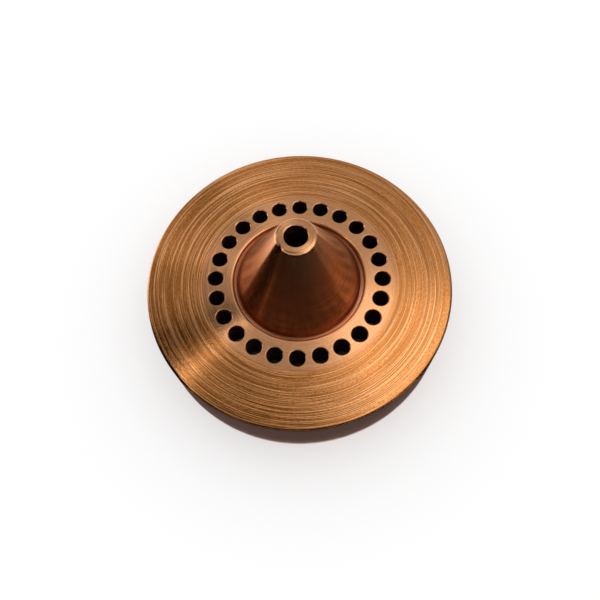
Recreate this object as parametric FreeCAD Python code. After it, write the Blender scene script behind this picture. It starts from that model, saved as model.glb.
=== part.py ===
import FreeCAD, Part
import math
import os

# Plasma torch nozzle: one turned copper piece.  Millimetres, +Z up along the nozzle's axis,
# underside of the flange at Z = 0, orifice pointing up.

# Flange: the round disc that the torch clamps
FLANGE_D = 40.0         # outside diameter
FLANGE_T = 8.2          # thickness at the rim
FACE_BREAK = 0.25       # edge break between face and rim
SEAT_BREAK = 0.3        # edge break between rim and underside

# Nose: the cone that carries the orifice
NOSE_RISE = 11.0        # from the flange's face to the tip
TIP_D = 4.8             # where the cone would meet the tip's flat if the edge were sharp
TIP_ROUND = 0.5         # rounding of the tip's outer edge
FOOT_D = 17.2           # round recess that the cone stands in
FOOT_FLOOR = 0.45       # width of the recess's floor, all round the cone
FOOT_DEPTH = 0.5        # depth of the recess under the face
FOOT_BREAK = 0.25       # edge break between recess and face

# Orifice and the chamber behind it
ORIFICE_D = 2.8         # bore that the arc leaves by
ORIFICE_LENGTH = 3.4    # parallel length of that bore
ORIFICE_BREAK = 0.1     # edge break at the tip
CHAMBER_WALL = 2.6      # from the chamber's wall out to the recess diameter
CHAMBER_DEPTH = 6.2     # parallel length of the chamber, from the underside
CHAMBER_LEAD = 0.5      # lead-in at the chamber's mouth

# Gas ports: a ring of straight holes from a groove in the underside to the face
PORT_COUNT = 24
PORT_D = 2.0
PORT_WEB = 1.4          # metal between the recess and the ports
PORT_BREAK = 0.12       # edge break at the face
PLENUM_MARGIN = 0.8     # from the ports out to each wall of the groove
PLENUM_DEPTH = 3.6      # depth of the groove from the underside
PLENUM_BREAK = 0.2      # edge break at the groove's mouth

# Sizes that follow from those above
TIP_Z = FLANGE_T + NOSE_RISE
CHAMBER_D = FOOT_D - 2 * CHAMBER_WALL
PORT_CIRCLE_D = FOOT_D + 2 * PORT_WEB + PORT_D
PLENUM_INNER_R = (PORT_CIRCLE_D - PORT_D) / 2 - PLENUM_MARGIN
PLENUM_OUTER_R = (PORT_CIRCLE_D + PORT_D) / 2 + PLENUM_MARGIN

AXIS = FreeCAD.Vector(0, 0, 1)
CENTRE = FreeCAD.Vector(0, 0, 0)


def at(radius, z):
    """A point of the half section."""
    return FreeCAD.Vector(radius, 0, z)


def on_circle(centre_r, centre_z, radius, degrees):
    """A point on a circle of the half section."""
    turn = math.radians(degrees)
    return at(centre_r + radius * math.cos(turn), centre_z + radius * math.sin(turn))


def arc(centre_r, centre_z, radius, start, end):
    """An arc of the half section between two directions in degrees."""
    ends = [on_circle(centre_r, centre_z, radius, turn) for turn in (start, (start + end) / 2, end)]
    return Part.Arc(*ends).toShape()


def chain(points):
    """Straight edges through the points in turn."""
    return [Part.makeLine(a, b) for a, b in zip(points, points[1:])]


def turned(edges):
    """The solid swept by a closed half section once round the axis."""
    section = Part.Face(Part.Wire(Part.sortEdges(edges)[0]))
    return section.revolve(CENTRE, AXIS, 360)


def nozzle_body():
    """Flange, nose, recess, chamber and orifice, all turned in one setting."""
    floor_z = FLANGE_T - FOOT_DEPTH
    foot_r = FOOT_D / 2 - FOOT_FLOOR
    slope = math.degrees(math.atan2(foot_r - TIP_D / 2, TIP_Z - floor_z))
    crown_r = TIP_D / 2 - TIP_ROUND * math.tan(math.radians((90 - slope) / 2))
    crown_z = TIP_Z - TIP_ROUND

    tip = arc(crown_r, crown_z, TIP_ROUND, 90, slope)
    outside = chain([on_circle(crown_r, crown_z, TIP_ROUND, slope),
                     at(foot_r, floor_z),
                     at(FOOT_D / 2, floor_z),
                     at(FOOT_D / 2, FLANGE_T - FOOT_BREAK),
                     at(FOOT_D / 2 + FOOT_BREAK, FLANGE_T),
                     at(FLANGE_D / 2 - FACE_BREAK, FLANGE_T),
                     at(FLANGE_D / 2, FLANGE_T - FACE_BREAK),
                     at(FLANGE_D / 2, SEAT_BREAK),
                     at(FLANGE_D / 2 - SEAT_BREAK, 0)])
    inside = chain([at(FLANGE_D / 2 - SEAT_BREAK, 0),
                    at(CHAMBER_D / 2 + CHAMBER_LEAD, 0),
                    at(CHAMBER_D / 2, CHAMBER_LEAD),
                    at(CHAMBER_D / 2, CHAMBER_DEPTH),
                    at(ORIFICE_D / 2, TIP_Z - ORIFICE_LENGTH),
                    at(ORIFICE_D / 2, TIP_Z - ORIFICE_BREAK),
                    at(ORIFICE_D / 2 + ORIFICE_BREAK, TIP_Z),
                    at(crown_r, TIP_Z)])
    return turned([tip] + outside + inside)


def plenum():
    """The groove in the underside that feeds gas to every port."""
    corners = [at(PLENUM_INNER_R, PLENUM_DEPTH),
               at(PLENUM_INNER_R, PLENUM_BREAK),
               at(PLENUM_INNER_R - PLENUM_BREAK, 0),
               at(PLENUM_OUTER_R + PLENUM_BREAK, 0),
               at(PLENUM_OUTER_R, PLENUM_BREAK),
               at(PLENUM_OUTER_R, PLENUM_DEPTH),
               at(PLENUM_INNER_R, PLENUM_DEPTH)]
    return turned(chain(corners))


def port(turn):
    """One gas port with its edge break, at an angle round the axis."""
    below = PLENUM_DEPTH / 2
    drill = Part.makeCylinder(PORT_D / 2, FLANGE_T - below, at(PORT_CIRCLE_D / 2, below), AXIS)
    edge = Part.makeCone(PORT_D / 2, PORT_D / 2 + PORT_BREAK, PORT_BREAK,
                         at(PORT_CIRCLE_D / 2, FLANGE_T - PORT_BREAK), AXIS)
    hole = drill.fuse(edge)
    hole.rotate(CENTRE, AXIS, turn)
    return hole


ports = [port(360 / PORT_COUNT * step) for step in range(PORT_COUNT)]
nozzle = nozzle_body().cut([plenum()] + ports)

os.makedirs("parts", exist_ok=True)
nozzle.exportStep("parts/nozzle.step")
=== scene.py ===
import math

import bmesh
import bpy
from mathutils import Matrix, Vector

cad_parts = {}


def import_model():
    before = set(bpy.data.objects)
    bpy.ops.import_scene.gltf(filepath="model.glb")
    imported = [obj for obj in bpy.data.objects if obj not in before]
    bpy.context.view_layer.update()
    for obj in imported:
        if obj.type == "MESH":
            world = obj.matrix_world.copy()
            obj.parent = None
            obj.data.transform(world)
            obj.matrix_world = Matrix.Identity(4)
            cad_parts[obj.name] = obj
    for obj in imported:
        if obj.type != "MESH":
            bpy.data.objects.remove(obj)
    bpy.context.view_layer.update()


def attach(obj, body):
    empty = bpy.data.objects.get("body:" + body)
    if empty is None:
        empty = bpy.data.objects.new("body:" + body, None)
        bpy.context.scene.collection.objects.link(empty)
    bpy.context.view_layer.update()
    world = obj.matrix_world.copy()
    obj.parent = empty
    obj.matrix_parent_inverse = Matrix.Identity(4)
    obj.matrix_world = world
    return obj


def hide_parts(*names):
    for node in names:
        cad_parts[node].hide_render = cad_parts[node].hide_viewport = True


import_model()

MM = 0.001

# The nozzle's sizes in millimetres, as its solid has them
FLANGE_R = 20.0
FACE_Z = 8.2
FACE_BREAK = 0.25
SEAT_BREAK = 0.3
TIP_Z = 19.2
TIP_R = 2.4
TIP_ROUND = 0.5
FOOT_R = 8.6
FOOT_FLOOR = 0.45
FOOT_DEPTH = 0.5
FOOT_BREAK = 0.25
ORIFICE_R = 1.4
ORIFICE_LENGTH = 3.4
ORIFICE_BREAK = 0.1
CHAMBER_R = 6.0
CHAMBER_DEPTH = 6.2
CHAMBER_LEAD = 0.5
PORT_COUNT = 24
PORT_R = 1.0
PORT_RING = 11.0
PORT_BREAK = 0.12
PLENUM_INNER = 9.2
PLENUM_OUTER = 12.8
PLENUM_DEPTH = 3.6
PLENUM_BREAK = 0.2

# Fineness of the mesh
PORT_SEGMENTS = 48                # round each port
ARC_STEPS = 16                    # round the axis, from one port to the next
SIDE_STEPS = 8                    # across the ring of ports
EDGE_SOFT = 0.05                  # softening of every turned edge, mm
SEGMENTS = PORT_COUNT * ARC_STEPS

# The camera, solved from the circles of the face
VIEW_AZIMUTH = 4.281
VIEW_ELEVATION = 63.756
VIEW_ROLL = 3.834
VIEW_DISTANCE = 77.51             # to the middle of the face, mm
FOCAL_SHARE = 0.982               # focal length over the width of the film
FILM_WIDTH = 36
FACE_CENTRE = (0.4978, 0.4638)    # where the middle of the face falls, from the top left

# Finishes, by their place in the mesh's list; the cone's carries painted light and the bore's painted shade.
# The turned face is the first, and needs no painting.
CONE, RIM, SHADED_BORE = 1, 2, 3
NEAR = 0.02                       # how far a facet's middle may lie off its surface, mm

# Spacing of the marks across the tool's path, mm
HAIR_PITCH = 0.05
FINE_PITCH = 0.13
COARSE_PITCH = 0.45
GRAIN_PITCH = 0.12
CREST_PITCH = 0.12

# The studio. Reflections of it fan out round the direction that the face mirrors to the camera.
CARD_DISTANCE = 0.6               # metres
MIRROR = (VIEW_AZIMUTH + 90, VIEW_ELEVATION)
FAN_REACH = 75                    # how far a fan card opens from that direction, degrees
LOW_EDGE = -3                     # elevations of the cards that stand round the table
FLOOR_DROP = 0.0001               # the floor lies this far below the seat, metres
CARD_LIFT = 0.00012               # and the cards on it this far above the seat
FLOOR_GREY = 0.70
FLOOR_GLOW = 0.32                 # makes the floor near white to the eye and in reflections


def softened(points, amount=EDGE_SOFT):
    """The half section with each corner turned into a small curve, held by a point on each side."""
    soft = [points[0]]
    for before, corner, after in zip(points, points[1:], points[2:]):
        here = Vector(corner)
        back = Vector(before) - here
        ahead = Vector(after) - here
        cut = min(amount, back.length / 3, ahead.length / 3)
        start = here + back.normalized() * cut
        end = here + ahead.normalized() * cut
        middle = (start + end) / 4 + here / 2
        soft += [here + back.normalized() * cut * 1.4, start, middle, end,
                 here + ahead.normalized() * cut * 1.4]
    return [Vector(p) for p in soft + [points[-1]]]


def tip_round():
    """The rounding between the tip's flat and the cone, from the flat outwards."""
    foot = FOOT_R - FOOT_FLOOR
    slope = math.atan2(foot - TIP_R, TIP_Z - FACE_Z + FOOT_DEPTH)
    centre = TIP_R - TIP_ROUND * math.tan((math.pi / 2 - slope) / 2)
    turns = [math.pi / 2 + (slope - math.pi / 2) * step / 8 for step in range(9)]
    return [(centre + TIP_ROUND * math.cos(turn), TIP_Z - TIP_ROUND + TIP_ROUND * math.sin(turn))
            for turn in turns]


def outer_section():
    """From the ports outwards: face, rim, seat and the groove's outer wall."""
    return softened([(PLENUM_OUTER, FACE_Z), (FLANGE_R - FACE_BREAK, FACE_Z), (FLANGE_R, FACE_Z - FACE_BREAK),
                     (FLANGE_R, SEAT_BREAK), (FLANGE_R - SEAT_BREAK, 0), (PLENUM_OUTER + PLENUM_BREAK, 0),
                     (PLENUM_OUTER, PLENUM_BREAK), (PLENUM_OUTER, PLENUM_DEPTH)])


def inner_sections():
    """From the groove's inner wall inwards, up the chamber to the tip, and down the cone to the ports."""
    foot_z = FACE_Z - FOOT_DEPTH
    inside = softened([(PLENUM_INNER, PLENUM_DEPTH), (PLENUM_INNER, PLENUM_BREAK),
                       (PLENUM_INNER - PLENUM_BREAK, 0),
                       (CHAMBER_R + CHAMBER_LEAD, 0), (CHAMBER_R, CHAMBER_LEAD), (CHAMBER_R, CHAMBER_DEPTH),
                       (ORIFICE_R, TIP_Z - ORIFICE_LENGTH), (ORIFICE_R, TIP_Z - ORIFICE_BREAK),
                       (ORIFICE_R + ORIFICE_BREAK, TIP_Z), tip_round()[0]])
    outside = softened([tip_round()[-1], (FOOT_R - FOOT_FLOOR, foot_z), (FOOT_R, foot_z),
                        (FOOT_R, FACE_Z - FOOT_BREAK)])
    # The lip of the recess is rounded, from its wall over to the face
    lip = [Vector((FOOT_R + FOOT_BREAK * (1 - math.cos(turn)), FACE_Z - FOOT_BREAK * (1 - math.sin(turn))))
           for turn in (math.radians(15 * step) for step in range(1, 7))]
    return inside + [Vector(p) for p in tip_round()[1:-1]] + outside + lip + [Vector((PLENUM_INNER, FACE_Z))]


class Turning:
    """A mesh built by turning sections round the axis, with a ring of ports let in."""

    def __init__(self):
        self.mesh = bmesh.new()
        self.places = {}

    def vertex(self, x, y, z):
        key = (round(x, 5), round(y, 5), round(z, 5))
        if key not in self.places:
            self.places[key] = self.mesh.verts.new((x * MM, y * MM, z * MM))
        return self.places[key]

    def on_ring(self, radius, z, turn):
        return self.vertex(radius * math.cos(turn), radius * math.sin(turn), z)

    def face(self, corners):
        distinct = list(dict.fromkeys(corners))
        if len(distinct) > 2:
            self.mesh.faces.new(distinct)

    def turn(self, section):
        """Sweeps a section once round. The solid lies to the right of the section's direction."""
        for (r0, z0), (r1, z1) in zip(section, section[1:]):
            for step in range(SEGMENTS):
                a, b = (math.tau * (step + k) / SEGMENTS for k in (0, 1))
                self.face([self.on_ring(r0, z0, a), self.on_ring(r1, z1, a),
                           self.on_ring(r1, z1, b), self.on_ring(r0, z0, b)])

    def port(self, turn):
        """One port: the sector of face and of the groove's ceiling round it, and the hole between."""
        half = math.pi / PORT_COUNT
        arcs = [turn - half + 2 * half * step / ARC_STEPS for step in range(ARC_STEPS + 1)]
        width = PLENUM_OUTER - PLENUM_INNER
        radii = [PLENUM_INNER + width * step / SIDE_STEPS for step in range(SIDE_STEPS + 1)]
        border = [(PLENUM_OUTER, a) for a in arcs[:-1]] + [(r, arcs[-1]) for r in radii[:0:-1]]
        border += [(PLENUM_INNER, a) for a in arcs[:0:-1]] + [(r, arcs[0]) for r in radii[:-1]]
        centre = Vector((PORT_RING * math.cos(turn), PORT_RING * math.sin(turn)))
        first = turn - math.pi * ARC_STEPS / PORT_SEGMENTS
        around = [first + math.tau * step / PORT_SEGMENTS for step in range(PORT_SEGMENTS)]
        wall = softened([(PORT_R + PORT_BREAK + 0.1, FACE_Z), (PORT_R + PORT_BREAK, FACE_Z),
                         (PORT_R, FACE_Z - PORT_BREAK), (PORT_R, PLENUM_DEPTH),
                         (PORT_R + 0.1, PLENUM_DEPTH)], 0.03)
        rings = [[self.vertex(centre.x + r * math.cos(a), centre.y + r * math.sin(a), z) for a in around]
                 for r, z in wall]
        top = [self.on_ring(r, FACE_Z, a) for r, a in border]
        ceiling = [self.on_ring(r, PLENUM_DEPTH, a) for r, a in border]
        rings = [top] + rings + [ceiling]
        for outer, inner in zip(rings, rings[1:]):
            for step in range(PORT_SEGMENTS):
                nxt = (step + 1) % PORT_SEGMENTS
                self.face([outer[step], outer[nxt], inner[nxt], inner[step]])

    def finish(self, name):
        bmesh.ops.recalc_face_normals(self.mesh, faces=self.mesh.faces)
        data = bpy.data.meshes.new(name)
        self.mesh.to_mesh(data)
        self.mesh.free()
        data.polygons.foreach_set("use_smooth", [True] * len(data.polygons))
        piece = bpy.data.objects.new(name, data)
        bpy.context.collection.objects.link(piece)
        return piece


def nozzle_piece():
    turning = Turning()
    turning.turn(outer_section())
    turning.turn(inner_sections())
    for step in range(PORT_COUNT):
        turning.port(math.tau * step / PORT_COUNT)
    return turning.finish("turned_nozzle")


def paint(piece):
    """Gives each face of the mesh the finish of its place: painted light on the cone, painted shade in the
    bores.
    """
    for face in piece.data.polygons:
        x, y, z = (value / MM for value in face.center)
        radius = math.hypot(x, y)
        if radius > FLANGE_R - 0.06 and SEAT_BREAK < z < FACE_Z - FACE_BREAK:
            face.material_index = RIM
        # The cone and the recess round its foot: the cone's finish, with its painted light.
        elif inside_recess(radius, z) and z < TIP_Z - TIP_ROUND and not inside_nose(radius, z):
            face.material_index = CONE
        # The orifice, the chamber, the ports and the groove behind them: near black, painted shade.
        elif inside_nose(radius, z) or in_port(x, y, z):
            face.material_index = SHADED_BORE


def inside_recess(radius, z):
    """Whether a point of the surface is on the cone or in the recess round its foot."""
    within = FOOT_R + NEAR / 2 if z < FACE_Z - FOOT_BREAK else FOOT_R - 0.1
    return z > FACE_Z - FOOT_DEPTH - NEAR / 2 and radius < within


def inside_nose(radius, z):
    """Whether a point of the surface is on the orifice or in the chamber."""
    if z > TIP_Z - ORIFICE_LENGTH:
        return radius < ORIFICE_R + NEAR
    narrowing = CHAMBER_R + 1 - (z - CHAMBER_DEPTH) * 0.45
    return z > 0.4 and radius < CHAMBER_R + NEAR and radius < narrowing


def in_port(x, y, z):
    """Whether a point of the surface is on the wall of a gas port or in the groove behind them."""
    radius = math.hypot(x, y)
    if z < PLENUM_DEPTH + NEAR:
        return PLENUM_INNER - NEAR < radius < PLENUM_OUTER + NEAR and z > 0.3
    step = math.tau / PORT_COUNT
    turn = round(math.atan2(y, x) / step) * step
    away = math.hypot(x - PORT_RING * math.cos(turn), y - PORT_RING * math.sin(turn))
    return away < PORT_R + NEAR and z < FACE_Z - PORT_BREAK / 2


def camera():
    """A camera that sees the face's circles as the solved ellipses, with no shift."""
    azimuth, elevation, roll = (math.radians(v) for v in (VIEW_AZIMUTH, VIEW_ELEVATION, VIEW_ROLL))
    back = Vector((math.sin(azimuth) * math.cos(elevation), -math.cos(azimuth) * math.cos(elevation),
                   math.sin(elevation)))
    right = Vector((math.cos(azimuth), math.sin(azimuth), 0))
    up = back.cross(right)
    # The object's own axes as they look from the face's centre, turned by the roll
    seen = Matrix((right * math.cos(roll) - up * math.sin(roll),
                   right * math.sin(roll) + up * math.cos(roll), back))
    # The face's centre lies off the film's middle, so the camera looks past it
    off_x = (FACE_CENTRE[0] - 0.5) / FOCAL_SHARE
    off_y = (0.5 - FACE_CENTRE[1]) / FOCAL_SHARE
    ray = Vector((off_x, off_y, -1)).normalized()
    side = Vector((0, 1, 0)).cross(-ray).normalized()
    aim = Matrix((side, (-ray).cross(side), -ray)).transposed()
    to_camera = aim @ seen
    data = bpy.data.cameras.new("photo_camera")
    data.sensor_width = FILM_WIDTH
    data.lens = FILM_WIDTH * FOCAL_SHARE
    data.clip_start = 0.001
    rig = bpy.data.objects.new("photo_camera", data)
    bpy.context.collection.objects.link(rig)
    place = Vector((0, 0, FACE_Z * MM)) - to_camera.transposed() @ (ray * VIEW_DISTANCE * MM)
    rig.matrix_world = Matrix.Translation(place) @ to_camera.transposed().to_4x4()
    bpy.context.scene.camera = rig


class Nodes:
    """Short names for making shader nodes."""

    def __init__(self, tree):
        self.tree = tree
        tree.nodes.clear()

    def new(self, kind, settings=None, **inputs):
        node = self.tree.nodes.new(kind)
        for key, value in (settings or {}).items():
            setattr(node, key, value)
        for key, value in inputs.items():
            self.put(node, key.replace("_", " "), value)
        return node

    def put(self, node, key, value):
        socket = node.inputs[int(key[1:])] if key[0] == "i" and key[1:].isdigit() else node.inputs[key]
        if isinstance(value, bpy.types.NodeSocket):
            self.tree.links.new(value, socket)
        else:
            socket.default_value = value

    def maths(self, operation, a, b=0.0):
        node = self.new("ShaderNodeMath", {"operation": operation})
        self.put(node, "i0", a)
        self.put(node, "i1", b)
        return node.outputs[0]

    def ramp(self, value, stops):
        node = self.tree.nodes.new("ShaderNodeValToRGB")
        self.tree.links.new(value, node.inputs[0])
        elements = node.color_ramp.elements
        while len(elements) < len(stops):
            elements.new(0.5)
        for element, (place, colour) in zip(elements, stops):
            element.position = place
            element.color = (*colour, 1)
        return node.outputs[0]


def polar(nodes):
    """Sockets for radius and height in millimetres, and for the direction from the axis."""
    here = nodes.new("ShaderNodeTexCoord").outputs["Object"]
    split = nodes.new("ShaderNodeSeparateXYZ", i0=here)
    x, y, z = split.outputs
    squares = nodes.maths("ADD", nodes.maths("MULTIPLY", x, x), nodes.maths("MULTIPLY", y, y))
    radius = nodes.maths("SQRT", squares)
    radius_mm = nodes.maths("MULTIPLY", radius, 1 / MM)
    height_mm = nodes.maths("MULTIPLY", z, 1 / MM)
    safe = nodes.maths("MAXIMUM", radius, 1e-6)
    return radius_mm, height_mm, nodes.maths("DIVIDE", x, safe), nodes.maths("DIVIDE", y, safe)


def ring_marks(nodes, along, cosine, sine, pitch, wander, detail=2.0):
    """Noise that runs round the axis: fine across the tool's marks, slow along them. pitch is in mm."""
    place = nodes.new("ShaderNodeCombineXYZ", X=nodes.maths("MULTIPLY", along, 1 / pitch),
                      Y=nodes.maths("MULTIPLY", cosine, wander), Z=nodes.maths("MULTIPLY", sine, wander))
    return nodes.new("ShaderNodeTexNoise", Vector=place.outputs[0], Scale=1.0, Detail=detail,
                     Roughness=0.6).outputs[0]


def mixed(nodes, share, a, b):
    """A colour between a and b."""
    node = nodes.new("ShaderNodeMix", {"data_type": "RGBA"})
    for key, value in ((0, share), (6, a), (7, b)):
        if isinstance(value, bpy.types.NodeSocket):
            nodes.tree.links.new(value, node.inputs[key])
        else:
            node.inputs[key].default_value = value if key == 0 else (*value, 1)
    return node.outputs[2]


def copper(name, dark, light, roughness, anisotropy, groove, inner=None, reach=(0.61, 0.66)):
    """Turned copper. Fine rings stretch every reflection towards the axis, and coarser ones show as lines,
    with a painted highlight along their tops.
    groove is the depth of the marks in mm. inner, if given, is a paler colour nearer the axis, with smoother
    marks, which fades out between the two shares of the radius in reach: on the face the smoother, paler
    finish round the ports, on the cone painted light, lighter towards the tip and darker towards the foot."""
    material = bpy.data.materials.new(name)
    material.use_nodes = True
    nodes = Nodes(material.node_tree)
    radius, height, cosine, sine = polar(nodes)
    along = nodes.maths("SUBTRACT", radius, height)
    hair = ring_marks(nodes, along, cosine, sine, HAIR_PITCH, 1.5)
    fine = ring_marks(nodes, along, cosine, sine, FINE_PITCH, 1.0)
    fine = nodes.ramp(fine, [(0.30, (0, 0, 0)), (0.70, (1, 1, 1))])
    coarse = ring_marks(nodes, along, cosine, sine, COARSE_PITCH, 0.9, 3.0)
    grain = ring_marks(nodes, along, cosine, sine, GRAIN_PITCH, 50.0)
    crest_and_highlight = ring_marks(nodes, along, cosine, sine, CREST_PITCH, 0.9, 1.0)
    crest_and_highlight = nodes.ramp(crest_and_highlight, [(0.55, (0, 0, 0)), (0.62, (1, 1, 1))])
    lift = nodes.maths("ADD", nodes.maths("MULTIPLY", fine, 0.45), nodes.maths("MULTIPLY", coarse, 0.35))
    lift = nodes.maths("ADD", lift, nodes.maths("MULTIPLY", hair, 0.25))
    lift = nodes.maths("ADD", lift, nodes.maths("MULTIPLY", crest_and_highlight, 0.40))
    lift = nodes.maths("ADD", lift, nodes.maths("MULTIPLY", grain, 0.35))
    colour = mixed(nodes, nodes.ramp(coarse, [(0.35, (0, 0, 0)), (0.65, (1, 1, 1))]), dark, light)
    colour = mixed(nodes, nodes.ramp(grain, [(0.38, (0.9,) * 3), (0.55, (0, 0, 0))]), colour, dark)
    # Painted highlight: the tops of the coarser marks are painted in a paler copper.
    pale = tuple(min(1.0, value * 1.15 + 0.10) for value in light)
    colour = mixed(nodes, nodes.maths("MULTIPLY", crest_and_highlight, 0.85), colour, pale)
    if inner:
        near = nodes.maths("MULTIPLY", radius, 1 / FLANGE_R)
        near = nodes.ramp(near, [(reach[0], (1, 1, 1)), (reach[1], (0, 0, 0))])
        colour = mixed(nodes, nodes.maths("MULTIPLY", near, 0.8), colour, inner)
        left = nodes.maths("SUBTRACT", 1.0, nodes.maths("MULTIPLY", near, 0.6))
        lift = nodes.maths("MULTIPLY", lift, left)
    bump = nodes.new("ShaderNodeBump", Strength=1.0, Distance=groove * MM, Height=lift)
    tangent = nodes.new("ShaderNodeTangent", {"direction_type": "RADIAL", "axis": "Z"})
    rough = nodes.maths("ADD", roughness - 0.03, nodes.maths("MULTIPLY", grain, 0.06))
    shader = nodes.new("ShaderNodeBsdfPrincipled", Base_Color=colour, Metallic=1.0, Roughness=rough,
                       Anisotropic=anisotropy, Anisotropic_Rotation=0.25, Normal=bump.outputs[0],
                       Tangent=tangent.outputs[0])
    nodes.new("ShaderNodeOutputMaterial", Surface=shader.outputs[0])
    return material


def floor():
    """A pale floor. Its glow stops under the part, so that the ports and the orifice stay dark."""
    bpy.ops.mesh.primitive_plane_add(size=6, location=(0, 0, -FLOOR_DROP))
    ground = bpy.context.object
    ground.name = "floor"
    material = bpy.data.materials.new("pale_floor")
    material.use_nodes = True
    nodes = Nodes(material.node_tree)
    shader = nodes.new("ShaderNodeBsdfDiffuse", Color=(FLOOR_GREY, FLOOR_GREY, FLOOR_GREY, 1))
    path = nodes.new("ShaderNodeLightPath")
    seen = nodes.maths("ADD", path.outputs["Is Camera Ray"], path.outputs["Is Glossy Ray"])
    seen = nodes.maths("ADD", seen, path.outputs["Is Transmission Ray"])
    apart = nodes.new("ShaderNodeVectorMath", {"operation": "LENGTH"})
    nodes.tree.links.new(nodes.new("ShaderNodeTexCoord").outputs["Object"], apart.inputs[0])
    seen = nodes.maths("MULTIPLY", seen, nodes.maths("GREATER_THAN", apart.outputs["Value"], FLANGE_R * MM))
    strength = nodes.maths("MULTIPLY", seen, FLOOR_GLOW)
    glow = nodes.new("ShaderNodeEmission", Color=(1, 1, 1, 1), Strength=strength)
    both = nodes.new("ShaderNodeAddShader")
    nodes.tree.links.new(shader.outputs[0], both.inputs[0])
    nodes.tree.links.new(glow.outputs[0], both.inputs[1])
    nodes.new("ShaderNodeOutputMaterial", Surface=both.outputs[0])
    ground.data.materials.append(material)


def direction(azimuth, elevation):
    """A unit vector from two angles in degrees."""
    a, e = math.radians(azimuth), math.radians(elevation)
    return Vector((math.cos(a) * math.cos(e), math.sin(a) * math.cos(e), math.sin(e)))


def card(name, shade, spots):
    """A studio card that only reflections see. spots is a grid of places in shares of CARD_DISTANCE."""
    mesh = bmesh.new()
    grid = [[mesh.verts.new(spot * CARD_DISTANCE) for spot in row] for row in spots]
    for row, nxt in zip(grid, grid[1:]):
        for a, b, c, d in zip(row, row[1:], nxt[1:], nxt):
            mesh.faces.new((a, b, c, d))
    data = bpy.data.meshes.new(name)
    mesh.to_mesh(data)
    mesh.free()
    piece = bpy.data.objects.new(name, data)
    bpy.context.collection.objects.link(piece)
    material = bpy.data.materials.new(name)
    material.use_nodes = True
    nodes = Nodes(material.node_tree)
    glow = nodes.new("ShaderNodeEmission", Color=(shade, shade, shade, 1), Strength=1.0)
    nodes.new("ShaderNodeOutputMaterial", Surface=glow.outputs[0])
    material.cycles.emission_sampling = "NONE"
    data.materials.append(material)
    piece.visible_camera = False
    piece.visible_diffuse = False
    piece.visible_shadow = False
    piece.visible_transmission = False


def spoke(turn):
    """The way that reflections move on the fan when the grooves at this angle of the face tilt them."""
    hub = direction(*MIRROR)
    flat = direction(turn, 0)
    return (flat - hub * hub.dot(flat)).normalized()


def fan_card(name, start, end, shade):
    """A card shaped as a slice of a fan. The face shows it between the same two angles, in degrees."""
    hub = direction(*MIRROR)
    rows = []
    for step in range(13):
        away = math.radians(FAN_REACH * step / 12)
        rows.append([hub * math.cos(away) + spoke(start + (end - start) * k / 6) * math.sin(away)
                     for k in range(7)])
    card(name, shade, rows)


def low_card(name, start, end, top, shade):
    """A card that stands round the table, from its edge up to an elevation."""
    rows = [[direction(start + (end - start) * k / 24, LOW_EDGE + (top - LOW_EDGE) * step / 6)
             for k in range(25)] for step in range(7)]
    card(name, shade, rows)


def world():
    """A plain pale room. Reflections find it by themselves, so that the cards can stand in front of it."""
    sky = bpy.data.worlds.new("studio")
    bpy.context.scene.world = sky
    sky.use_nodes = True
    nodes = Nodes(sky.node_tree)
    white = nodes.new("ShaderNodeBackground", Color=(1, 1, 1, 1), Strength=1.0)
    nodes.new("ShaderNodeOutputWorld", Surface=white.outputs[0])
    sky.cycles.sampling_method = "NONE"


def floor_card(name, start, end, inner, outer, shade):
    """A card that lies on the floor, between two distances from the axis in metres."""
    lift = Vector((0, 0, CARD_LIFT / CARD_DISTANCE))
    rows = []
    for step in range(7):
        reach = (inner + (outer - inner) * step / 6) / CARD_DISTANCE
        rows.append([Vector((math.cos(turn), math.sin(turn), 0)) * reach + lift
                     for turn in (math.radians(start + (end - start) * k / 24) for k in range(25))])
    card(name, shade, rows)


def round_card(name, turn, away, size, shade):
    """A round card, away degrees from the direction that the face mirrors to the camera, in front of
    the others. size is its angular radius."""
    hub = direction(*MIRROR)
    middle = hub * math.cos(math.radians(away)) + spoke(turn) * math.sin(math.radians(away))
    across = middle.cross(spoke(turn)).normalized()
    upward = across.cross(middle)
    rows = []
    for step in range(1, 6):
        reach = math.tan(math.radians(size)) * step / 5
        turns = [math.tau * k / 32 for k in range(33)]
        rows.append([(middle + (across * math.cos(t) + upward * math.sin(t)) * reach) * 0.95 for t in turns])
    card(name, shade, rows)


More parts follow.
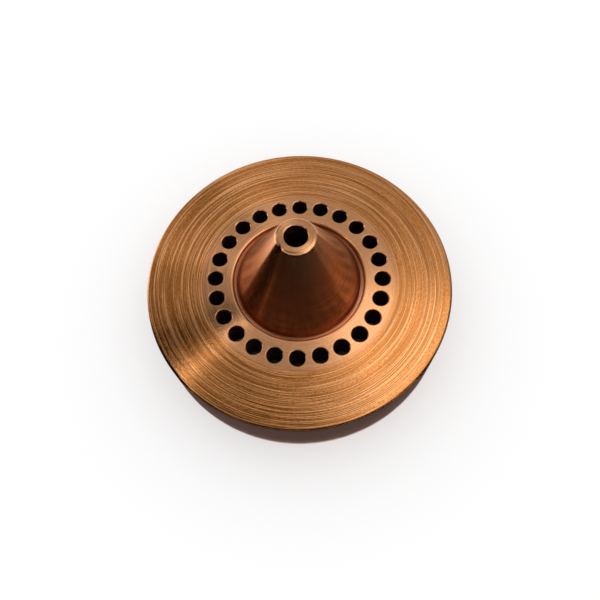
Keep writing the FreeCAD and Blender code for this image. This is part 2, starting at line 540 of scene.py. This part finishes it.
def studio():
    """The cards, anticlockwise round the face from its right. The numbers are angles, and last the shade."""
    fan_card("card_right", -10, 4, 0.95)
    fan_card("card_right_back", 4, 22, 0.62)
    fan_card("card_back", 22, 96, 0.43)
    fan_card("card_back_gap", 96, 124, 0.66)
    fan_card("card_left_back", 124, 156, 0.31)
    fan_card("card_left_slit", 156, 168, 0.62)
    fan_card("card_left", 168, 201, 0.31)
    fan_card("card_flag", 200.5, 221, 0.0)
    fan_card("card_glint", 221, 226, 1.90)
    fan_card("card_front", 226, 286, 0.58)
    fan_card("card_front_right", 286, 297, 0.85)
    fan_card("card_window", 298, 350, 1.50)
    round_card("card_lens", 256, 26, 13, 0.0)
    low_card("card_low_left", 138, 172, 34, 2.80)
    low_card("card_low", 172, 350, 32, 0.0)
    low_card("card_low_right", 350, 420, 32, 0.16)
    floor_card("card_ground_left", 125, 171, 0.026, 0.6, 1.50)
    floor_card("card_ground", 172, 348, 0.026, 0.6, 0.0)
    floor_card("card_ground_right", 348, 372, 0.026, 0.6, 0.07)
    floor_card("card_ground_far", 372, 400, 0.026, 0.6, 0.20)
    floor_card("card_foot", 170, 380, 0.0202, 0.026, 0.12)


nozzle = nozzle_piece()
finishes = [
    copper("turned_face", dark=(0.50, 0.180, 0.046), light=(0.87, 0.350, 0.108), roughness=0.125,
           anisotropy=1.0, groove=0.017, inner=(0.82, 0.40, 0.19)),
    # The cone is darker than the face, paler towards the tip and darkest at its foot: painted light, a
    # painted highlight at the tip and painted shade at the foot.
    copper("polished_cone_painted_light", dark=(0.28, 0.09, 0.035), light=(0.44, 0.155, 0.06), roughness=0.24,
           anisotropy=0.9, groove=0.004, inner=(0.76, 0.34, 0.15), reach=(0.13, 0.42)),
    copper("dull_rim", dark=(0.46, 0.19, 0.12), light=(0.72, 0.31, 0.20), roughness=0.32,
           anisotropy=0.6, groove=0.006),
    # The bores, the chamber and the groove behind the ports are near black: painted shade.
    copper("bore_painted_shade", dark=(0.05, 0.02, 0.015), light=(0.10, 0.04, 0.03), roughness=0.5,
           anisotropy=0.2, groove=0.004),
]
for finish in finishes:
    nozzle.data.materials.append(finish)
paint(nozzle)
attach(nozzle, "root")
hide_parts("nozzle")

floor()
world()
studio()
camera()

bpy.context.scene.view_settings.view_transform = "Standard"
